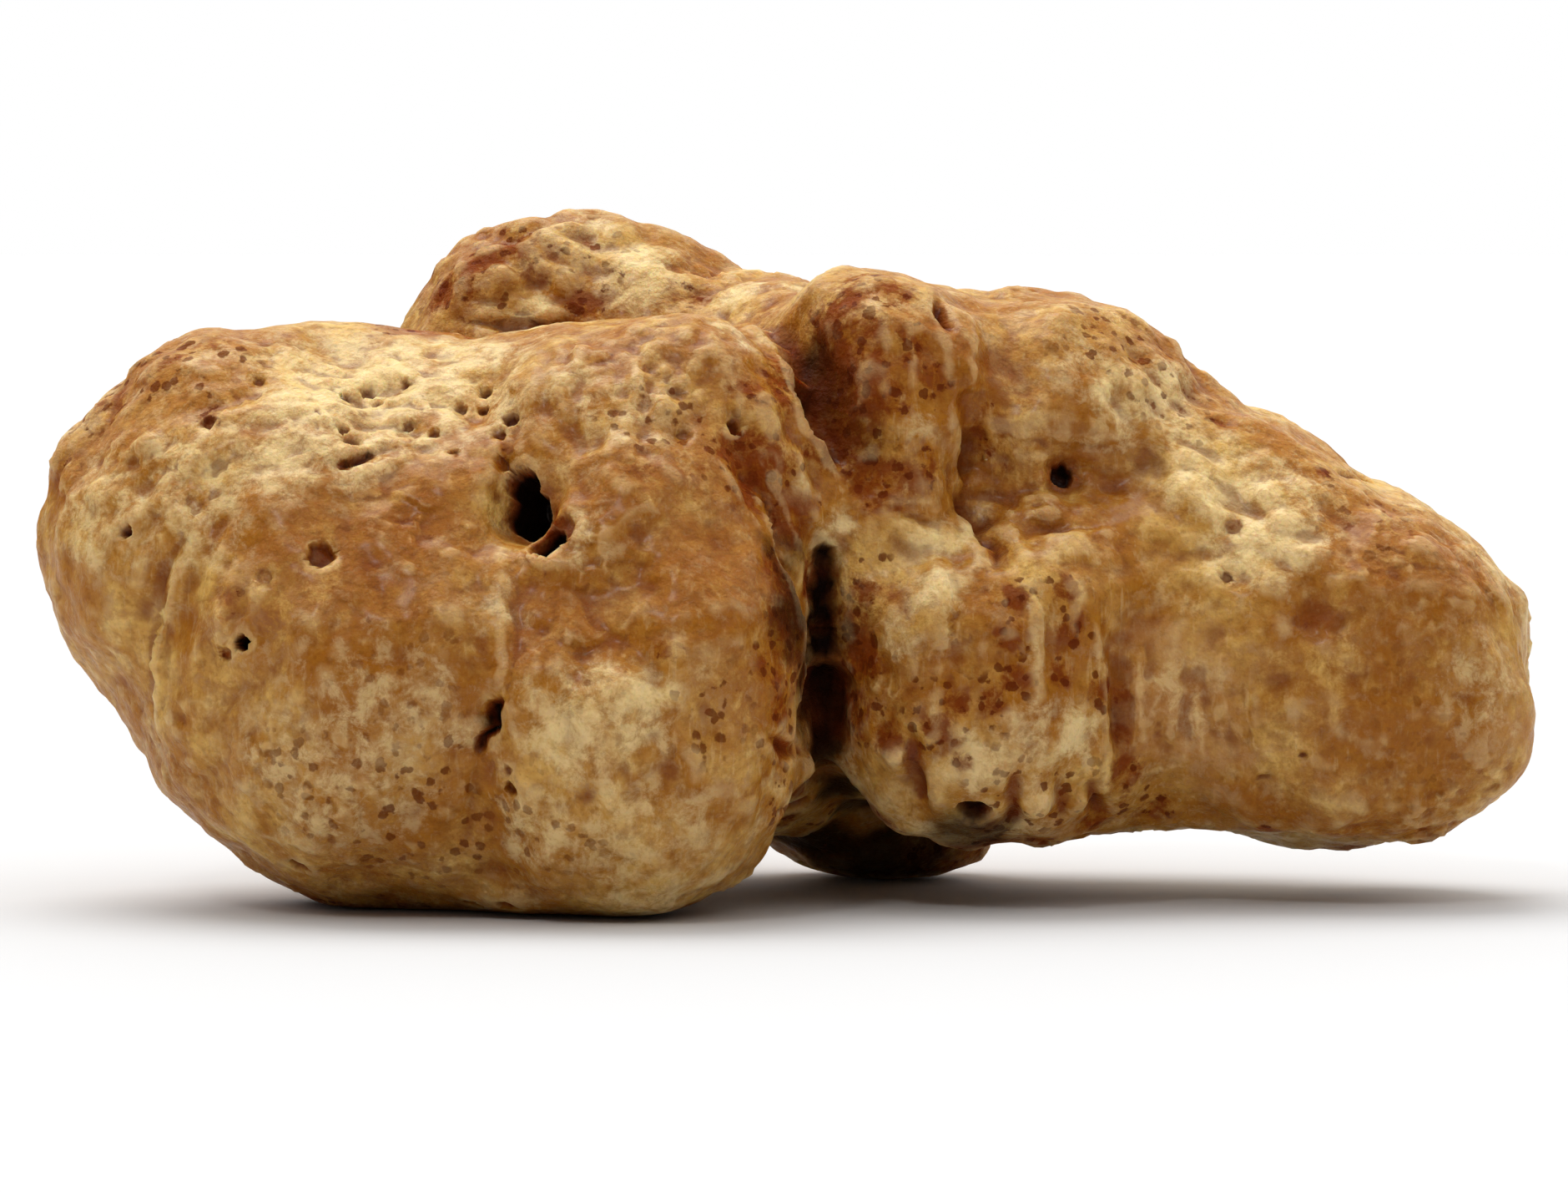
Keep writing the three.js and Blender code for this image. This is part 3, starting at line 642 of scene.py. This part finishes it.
class Skin:
    """The truffle's surface while it is worked: one mesh, and its points in millimetres."""

    def __init__(self, mesh):
        self.mesh = mesh
        self.sunk = np.zeros(0)
        self.refresh()

    def refresh(self):
        """Reads the points, normals and edges again, after the mesh has new ones."""
        self.points = read(self.mesh.vertices, "co") / METRES
        self.laid = self.points.copy()
        self.normals = read(self.mesh.vertex_normals, "vector")
        self.edges = read(self.mesh.edges, "vertices", 2).astype(int)
        if len(self.sunk) != len(self.points):  # a refined mesh counts as not sunk yet
            self.sunk = np.zeros(len(self.points))
        faces = [tuple(face.vertices) for face in self.mesh.polygons]
        self.tree = BVHTree.FromPolygons(self.points.tolist(), faces)

    def push(self, chosen, heights):
        """Moves the chosen points out along their normals, or in where a height is below 0."""
        self.points[chosen] += self.normals[chosen] * heights[:, None]

    def sink(self, chosen, way, depth):
        """Sinks each chosen point to a depth, less what it was sunk before. A depth below 0 raises it."""
        further = np.where(depth > 0.0, np.maximum(depth - self.sunk[chosen], 0.0), depth)
        self.points[chosen] -= way * further[:, None]
        self.sunk[chosen] = np.maximum(self.sunk[chosen], depth)

    def keep(self):
        """Puts the worked points back into the mesh."""
        self.mesh.vertices.foreach_set("co", (self.points * METRES).ravel())
        self.mesh.update()
        self.refresh()

    def seen_at(self, pixel):
        """The point of the skin that the photograph shows at a pixel, or close to it if it shows none."""
        across, down = pixel[0] - PHOTO_MIDDLE[0], pixel[1] - PHOTO_MIDDLE[1]
        ray = Vector(-CAMERA_BACK * FOCAL_PIXELS + np.array([across, 0.0, 0.0]) - CAMERA_UP * down)
        eye = Vector(CAMERA_PLACE)
        spot = self.tree.ray_cast(eye, ray)[0]
        if spot is None:
            spot = self.tree.find_nearest(eye + ray.normalized() * CAMERA_DISTANCE)[0]
        return np.array(spot)

    def along(self, pixels):
        """Points of the skin, closely spaced, along a line through the pixels."""
        spots = []
        for start, end in zip(pixels, pixels[1:]):
            steps = max(1, round(math.dist(start, end) / LINE_STEP))
            for number in range(steps):
                share = number / steps
                pixel = [a + (b - a) * share for a, b in zip(start, end)]
                spots.append(self.seen_at(pixel))
        return np.array(spots)

    def near(self, places, reach):
        """The points in the box that goes `reach` beyond the places, as they lay before this stage.

        Gives their numbers, their distances from the nearest place, and that place's number.
        """
        low, high = places.min(0) - reach, places.max(0) + reach
        chosen = np.flatnonzero(np.all((self.laid > low) & (self.laid < high), axis=1))
        apart = np.linalg.norm(self.laid[chosen, None, :] - places[None, :, :], axis=2)
        return chosen, apart.min(1), apart.argmin(1)

    def around(self, spot, reach):
        """The numbers and distances of the points in the box that goes `reach` beyond one spot."""
        chosen, apart, _ = self.near(spot[None, :], reach)
        return chosen, apart

    def mean_of_neighbours(self, values):
        """For each point, the mean of the values at the points that share an edge with it."""
        ends, others = self.edges.T
        count = len(values)
        total = np.zeros_like(values)
        for axis in range(values.shape[1]):
            total[:, axis] = np.bincount(ends, values[others, axis], count)
            total[:, axis] += np.bincount(others, values[ends, axis], count)
        return total / np.bincount(self.edges.ravel(), minlength=count)[:, None]


def smoothed_solid():
    """The CAD node's faces, joined into squares and rounded by subdivision."""
    shape = bmesh.new()
    shape.from_mesh(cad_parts[NODE].data)
    bmesh.ops.remove_doubles(shape, verts=shape.verts, dist=WELD)
    bmesh.ops.join_triangles(shape, faces=shape.faces, angle_face_threshold=JOINED_BEND,
                             angle_shape_threshold=JOINED_SKEW)
    coarse = bpy.data.meshes.new("coarse skin")
    shape.to_mesh(coarse)
    shape.free()
    holder = placed("coarse skin", coarse)
    rounding = holder.modifiers.new("rounding", "SUBSURF")
    rounding.levels = ROUNDING_ROUNDS
    graph = bpy.context.evaluated_depsgraph_get()
    smooth = bpy.data.meshes.new_from_object(holder.evaluated_get(graph))
    bpy.data.objects.remove(holder)
    bpy.data.meshes.remove(coarse)
    return smooth


def refine(skin, zones):
    """Halves the edges of the mesh inside the zones, each some places and a reach around them."""
    chosen = np.zeros(len(skin.points), bool)
    for places, reach in zones:
        numbers, apart, _ = skin.near(places, reach)
        chosen[numbers[apart < reach]] = True
    shape = bmesh.new()
    shape.from_mesh(skin.mesh)
    edges = [edge for edge in shape.edges if chosen[edge.verts[0].index] and chosen[edge.verts[1].index]]
    bmesh.ops.subdivide_edges(shape, edges=edges, cuts=1, use_grid_fill=True)
    shape.to_mesh(skin.mesh)
    shape.free()
    skin.refresh()


def refine_small_forms(skin):
    """Finer faces along the grooves and hollows, finest in the hollows."""
    lines = [(skin.along(pixels), LINE_MARGIN + half_width) for pixels, half_width, _ in GROOVES.values()]
    times, more = PIT_MARGIN
    pits = [(skin.seen_at(pixel)[None, :], times * radius + more) for pixel, radius, _, _ in HOLLOWS.values()]
    refine(skin, lines + pits)
    refine(skin, pits)


def crease(skin, pixels, half_width, depth):
    """Presses a soft groove into the skin along a line, or raises a ridge."""
    places = skin.along(pixels)
    chosen, apart, nearest = skin.near(places, CREASE_REACH * half_width)
    spots = skin.points[chosen]
    varied = 1.0 + uneven(spots, *CREASE_DEPTHS, seed=half_width)
    apart = apart * (1.0 + uneven(spots, *CREASE_WIDTHS, seed=depth))
    depths = depth * tapered(nearest, len(places)) * varied * bell(apart, half_width)
    skin.sink(chosen, skin.normals[chosen], depths)


def step(skin, pixels, lip, drop, fade):
    """Lays one fold over the next: a lip on one side of a line and a drop on the other."""
    places = skin.along(pixels)
    chosen, apart, nearest = skin.near(places, STEP_REACH * fade)
    spots = skin.points[chosen]
    ways = np.gradient(places, axis=0)
    low_side = np.stack([-ways[:, 2], ways[:, 0]], axis=1)
    low_side /= np.linalg.norm(low_side, axis=1)[:, None] + STEP_LEAST
    offset = (spots - places[nearest])[:, [0, 2]]
    across = np.einsum("ij,ij->i", offset, low_side[nearest]) + uneven(spots, *STEP_WANDER, seed=drop)
    sunk = drop * bell(apart, fade) * rise(across, *DROP_EDGE)
    raised = lip * bell(apart, LIP_WIDTH) * rise(-across, *LIP_EDGE)
    skin.push(chosen, (raised - sunk) * tapered(nearest, len(places)))


def bump(skin, pixel, radius, height):
    """Raises a round bump."""
    chosen, apart = skin.around(skin.seen_at(pixel), BUMP_REACH * radius)
    skin.push(chosen, height * bell(apart, radius))


def wrinkle(skin, pixel, radius, way, stretch, width, height):
    """Fine wrinkles that run one way over a patch of the skin."""
    chosen, apart = skin.around(skin.seen_at(pixel), WRINKLE_REACH * radius)
    points = skin.points[chosen]
    way = np.array([way[0], 0.0, -way[1]]) / math.hypot(*way)
    squeezed = points - (1.0 - 1.0 / stretch) * np.outer(points @ way, way)
    inside = rise(WRINKLE_REACH * radius - apart, 0.0, WRINKLE_EDGE * radius)
    skin.push(chosen, uneven(squeezed, height, width, seed=radius) * inside)


def hollow(skin, spot, radius, depth, wall):
    """Sinks a hollow straight in, with an uneven edge."""
    lie, _ = skin.around(spot, HOLLOW_LIE)
    way = skin.normals[lie].mean(0)
    way /= np.linalg.norm(way)
    chosen, apart = skin.around(spot, HOLLOW_REACH * radius + wall)
    raggedness, width = HOLLOW_RAGGED
    ragged = uneven(skin.laid[chosen], raggedness * radius, width * radius, seed=radius)
    skin.sink(chosen, way, depth * rise(radius + ragged - apart, -0.5 * wall, 0.5 * wall))


def relief(skin):
    """The uneven skin between the named forms: swells, lumps, grain and scattered pits."""
    points = skin.points
    push = np.zeros(len(points))
    for size, height in SWELLS:
        push += uneven(points, height, size, seed=size)
    pitted = rise(noises(points, *PITTED_ZONES), *PITTED_RISE)
    pitted = np.maximum(pitted, patch_mask(skin, PITTED_PLATEAU))
    apart, lot = cells(points, PIT_SPACING)
    push -= PIT_DEPTH * pitted * lot * (1.0 - rise(apart / drawn(PIT_RADIUS, lot), *PIT_WALL))
    push *= rise(points[:, 2], 0.0, FLOOR_EASE)
    skin.push(slice(None), push)


def scattered(skin, count, seed):
    """Places spread over the skin that the photograph doesn't show, each with a lot from 0 to 1."""
    draw = np.random.default_rng(seed)
    half = np.abs(skin.points).max(0)
    spots = []
    while len(spots) < count:
        spot, normal, _, _ = skin.tree.find_nearest(Vector(draw.uniform(-half, half)))
        if normal.y > FACES_BACK or normal.z < FACES_DOWN:
            spots.append((np.array(spot), draw.uniform()))
    return spots


def broad_forms(skin):
    """Creases, ridges and bumps, and the steps between folds."""
    for pixels, half_width, depth in CREASES.values():
        crease(skin, pixels, half_width, depth)
    for pixel, radius, height in BUMPS.values():
        bump(skin, pixel, radius, height)
    skin.keep()
    for pixels, lip, drop, fade in STEPS.values():
        step(skin, pixels, lip, drop, fade)
    skin.keep()


def small_forms(skin):
    """Relief and wrinkles, then the grooves, bores and pits in them. Nothing goes below the floor."""
    refine_small_forms(skin)
    relief(skin)
    for form in WRINKLES.values():
        wrinkle(skin, *form)
    skin.keep()
    for pixels, half_width, depth in GROOVES.values():
        crease(skin, pixels, half_width, depth)
    for pixel, radius, depth, wall in HOLLOWS.values():
        hollow(skin, skin.seen_at(pixel), radius, depth, wall)
    for spot, lot in scattered(skin, *LARVA_HOLES):
        hollow(skin, spot, drawn(LARVA_RADIUS, lot), drawn(LARVA_DEPTH, lot), LARVA_WALL)
    skin.points[:, 2] = np.maximum(skin.points[:, 2], 0.0)
    skin.keep()


def lay_patch(skin, mask, spot, radius, strength):
    """Adds a patch with soft, uneven edges to a mask: a stain, painted shade, painted highlight or a zone of
    pits.
    """
    chosen, apart = skin.around(spot, PATCH_REACH * radius)
    raggedness, width = PATCH_RAGGED
    ragged = uneven(skin.points[chosen], raggedness * radius, width * radius, seed=PATCH_SEED)
    starts, full = PATCH_EDGE
    inside = strength * rise(radius + ragged - apart, starts * radius, full * radius)
    mask[chosen] = np.maximum(mask[chosen], inside)


def patch_mask(skin, regions):
    """How far each point lies inside the regions' patches, from 0 to their strength."""
    mask = np.zeros(len(skin.points))
    for patches in regions.values():
        for across, down, radius, strength in patches:
            lay_patch(skin, mask, skin.seen_at((across, down)), radius, strength)
    return mask


def stain_and_painted_light_mask(skin, regions, count, seed, smallest, largest, strength):
    """The named patches, and as many more of their kind on the sides that the photograph doesn't show."""
    mask = patch_mask(skin, regions)
    for spot, lot in scattered(skin, count, seed):
        lay_patch(skin, mask, spot, smallest + (largest - smallest) * lot ** 2, strength)
    return mask


def hollowness(skin, rounds):
    """How deep each point lies below the skin as it would be smoothed, in millimetres. Ridges are below 0."""
    smooth = skin.points
    for _ in range(rounds):
        smooth = skin.mean_of_neighbours(smooth)
    return np.einsum("ij,ij->i", smooth - skin.points, skin.normals)


def store_looks(skin):
    """Stores what the material reads at each point: its stains, its patches of painted shade and highlight,
    and how deep it lies.
    """
    looks = {name: stain_and_painted_light_mask(skin, *settings) for name, settings in STAINS_AND_PAINTED_LIGHT.items()}
    looks["dark"] = patch_mask(skin, DARK)
    looks["sunk"] = skin.sunk
    looks["fine_hollow"] = hollowness(skin, FINE_ROUNDS)
    looks["broad_hollow"] = hollowness(skin, BROAD_ROUNDS)
    for name, values in looks.items():
        layer = skin.mesh.attributes.new(name, "FLOAT", "POINT")
        layer.data.foreach_set("value", values)


def truffle_skin():
    """The one visible piece: the solid's skin, with every form and stain."""
    skin = Skin(smoothed_solid())
    broad_forms(skin)
    small_forms(skin)
    store_looks(skin)
    skin.mesh.polygons.foreach_set("use_smooth", np.ones(len(skin.mesh.polygons), bool))
    skin.mesh.materials.append(skin_material())
    return placed("truffle_skin", skin.mesh)


class Paint:
    """Adds nodes to a material. A size is the width of a pattern's swells, in millimetres."""

    def __init__(self, name):
        self.material = bpy.data.materials.new(name)
        self.material.use_nodes = True
        self.tree = self.material.node_tree
        self.shader = self.tree.nodes["Principled BSDF"]
        self.place = self.add("ShaderNodeTexCoord", {}).outputs["Object"]

    def feed(self, node, inputs):
        """Sets inputs of a node, each to a plain value or to what another node puts out."""
        for name, value in inputs.items():
            if isinstance(value, bpy.types.NodeSocket):
                self.tree.links.new(value, node.inputs[name])
            else:
                node.inputs[name].default_value = value

    def add(self, kind, inputs, **settings):
        """A new node with these inputs and settings."""
        node = self.tree.nodes.new(kind)
        for name, value in settings.items():
            setattr(node, name, value)
        self.feed(node, inputs)
        return node

    def stored(self, name):
        """What store_looks keeps at each point under a name."""
        return self.add("ShaderNodeAttribute", {}, attribute_name=name).outputs["Fac"]

    def noise(self, size, detail=3.0, roughness=0.55, distortion=0.0, upright=1.0):
        """Smooth noise, mostly within MOST_NOISE. Its swells are `upright` times as high as wide."""
        squeeze = self.add("ShaderNodeMapping", {"Vector": self.place, "Scale": (1.0, 1.0, 1.0 / upright)})
        node = self.add("ShaderNodeTexNoise", {
            "Vector": squeeze.outputs["Vector"],
            "Scale": 1.0 / (size * METRES),
            "Detail": detail,
            "Roughness": roughness,
            "Distortion": distortion,
        })
        return node.outputs["Fac"]

    def spots(self, spacing):
        """Scattered spots of uneven size and edge, 1 inside and 0 outside."""
        node = self.add("ShaderNodeTexVoronoi", {"Vector": self.place, "Scale": 1.0 / (spacing * METRES)})
        wobble = self.rise(self.noise(spacing), *MOST_NOISE, *DOT_WOBBLE)
        return self.rise(self.math("ADD", node.outputs["Distance"], wobble), *DOT_EDGE)

    def rise(self, value, low, high, start=0.0, end=1.0):
        """A smooth step from start, where the value is low, to end, where it is high."""
        inputs = {"Value": value, "From Min": low, "From Max": high, "To Min": start, "To Max": end}
        return self.add("ShaderNodeMapRange", inputs, interpolation_type="SMOOTHSTEP").outputs["Result"]

    def math(self, operation, first, second):
        """What the operation makes of two values."""
        return self.add("ShaderNodeMath", {0: first, 1: second}, operation=operation).outputs[0]

    def over(self, under, colour, share):
        """The colour laid over what is under it, by a share from 0 to 1."""
        inputs = {"Factor": share, 6: under, 7: colour}
        return self.add("ShaderNodeMix", inputs, data_type="RGBA", clamp_factor=True).outputs[2]


def stain_and_painted_light_shares(paint, patterns):
    """The share of each stain, partly painted shade and highlight, and of the dark painted shade.
    The wisps fray a stain's edge.
    """
    ragged = paint.rise(patterns["wisp"], *MOST_NOISE, -FRAYING, FRAYING)
    shares = {name: paint.rise(paint.math("ADD", paint.stored(name), ragged), starts, full)
              for name, (_, starts, full, _) in STAIN_AND_PAINTED_LIGHT_TINTS.items()}
    dotted = paint.math("MAXIMUM", shares["rust"], paint.stored("dotted"))
    dots = paint.math("MULTIPLY", paint.spots(DOT_SPACING), paint.rise(dotted, 0.0, 1.0, CLEAN_DOTS, 1.0))
    shares["dots"] = paint.rise(dots, *DOT_RISE, 0.0, DOTS)
    shares["dark"] = paint.stored("dark")
    return shares


def skin_colour(paint, patterns, shares):
    """The clean skin, then its stains and dots, then the painted shade that depth gives them and the paler
    fine ridges, then the painted shade of the dark patches.
    """
    colour = CREAM
    for name, tint, starts, full, strongest in GROUND_TINTS:
        colour = paint.over(colour, tint, paint.rise(patterns[name], starts, full, 0.0, strongest))
    for name, (tint, _, _, strongest) in STAIN_AND_PAINTED_LIGHT_TINTS.items():
        colour = paint.over(colour, tint, paint.math("MULTIPLY", shares[name], strongest))
    colour = paint.over(colour, RUST_AND_SHADE_BROWN, shares["dots"])
    for name, tint, starts, full, strongest in DEPTH_TINTS:
        colour = paint.over(colour, tint, paint.rise(paint.stored(name), starts, full, 0.0, strongest))
    # Last, the near-black painted shade of the dark patches.
    return paint.over(colour, SHADE_AND_SOIL, shares["dark"])


def skin_coat(paint, shares):
    """How much of the shiny coat is left."""
    lost = paint.rise(paint.stored("broad_hollow"), *FOLD_RISE)
    for name in ("rust", "dots", "dark"):
        lost = paint.math("MAXIMUM", lost, shares[name])
    return paint.rise(lost, 0.0, COAT_LOST, COAT, 0.0)


def skin_material():
    """The peridium: a waxy skin, mottled cream to amber, with rust stains and painted shade in its hollows.
    """
    paint = Paint("peridium")
    patterns = {name: paint.noise(*settings) for name, settings in PATTERNS.items()}
    shares = stain_and_painted_light_shares(paint, patterns)
    grain = paint.math("MULTIPLY", patterns["grain"], GRAIN_SHARE)
    bumps = paint.add("ShaderNodeBump", {
        "Height": paint.math("ADD", patterns["pebble"], grain),
        "Distance": RELIEF_HEIGHT * METRES,
        "Strength": 1.0,
    })
    paint.feed(paint.shader, {
        "Base Color": skin_colour(paint, patterns, shares),
        "Roughness": paint.rise(patterns["gloss"], *GLOSS_RISE, *ROUGHNESS),
        "Subsurface Weight": SUBSURFACE,
        "Subsurface Radius": SUBSURFACE_COLOURS,
        "Subsurface Scale": SUBSURFACE_DEPTH * METRES,
        "Specular IOR Level": SPECULAR,
        "Coat Weight": skin_coat(paint, shares),
        "Coat Roughness": COAT_ROUGHNESS,
        "Normal": bumps.outputs["Normal"],
    })
    return paint.material


def floor():
    """A plain pale floor, which isn't part of the truffle."""
    corners = [(x * FLOOR_HALF, y * FLOOR_HALF, 0.0) for x, y in ((-1, -1), (1, -1), (1, 1), (-1, 1))]
    sheet = bpy.data.meshes.new("floor")
    sheet.from_pydata(corners, [], [range(4)])
    paint = Paint("floor")
    white = (FLOOR_WHITE, FLOOR_WHITE, FLOOR_WHITE, 1.0)
    paint.feed(paint.shader, {"Base Color": white, "Roughness": FLOOR_ROUGHNESS})
    sheet.materials.append(paint.material)
    ground = placed("floor", sheet)


def lights():
    """A broad softbox and a smaller lamp above, and a weak small light in front for glints, all far off."""
    for name, (strength, width, behind, aside) in LIGHTS.items():
        lamp = bpy.data.lights.new(name, "SUN")
        lamp.energy = strength
        lamp.angle = math.radians(width)
        stand = placed(name, lamp)
        stand.rotation_euler = (math.radians(-behind), math.radians(aside), 0.0)


def room():
    """A dim white room that the camera sees as plain white."""
    world = bpy.data.worlds.new("room")
    world.use_nodes = True
    nodes, links = world.node_tree.nodes, world.node_tree.links
    walls = nodes["Background"]
    backdrop = nodes.new("ShaderNodeBackground")
    for glow, strength in ((walls, ROOM_STRENGTH), (backdrop, 1.0)):
        glow.inputs["Color"].default_value = WHITE
        glow.inputs["Strength"].default_value = strength
    either = nodes.new("ShaderNodeMixShader")
    links.new(nodes.new("ShaderNodeLightPath").outputs["Is Camera Ray"], either.inputs["Fac"])
    links.new(walls.outputs[0], either.inputs[1])
    links.new(backdrop.outputs[0], either.inputs[2])
    links.new(either.outputs[0], nodes["World Output"].inputs["Surface"])
    bpy.context.scene.world = world
    bpy.context.scene.view_settings.view_transform = "Standard"


def camera():
    """The photograph's camera: far off in front, and looking down a little."""
    lens = bpy.data.cameras.new("camera")
    lens.sensor_width = SENSOR
    lens.lens = SENSOR * FOCAL_PIXELS / PHOTO_WIDTH
    lens.clip_start = CLIP_START
    seat = placed("camera", lens)
    seat.location = CAMERA_PLACE * METRES
    seat.rotation_euler = (math.radians(90.0) - CAMERA_TILT, 0.0, 0.0)
    bpy.context.scene.camera = seat


camera()
lights()
room()
floor()
piece = truffle_skin()
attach(piece, "root")
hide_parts(NODE)
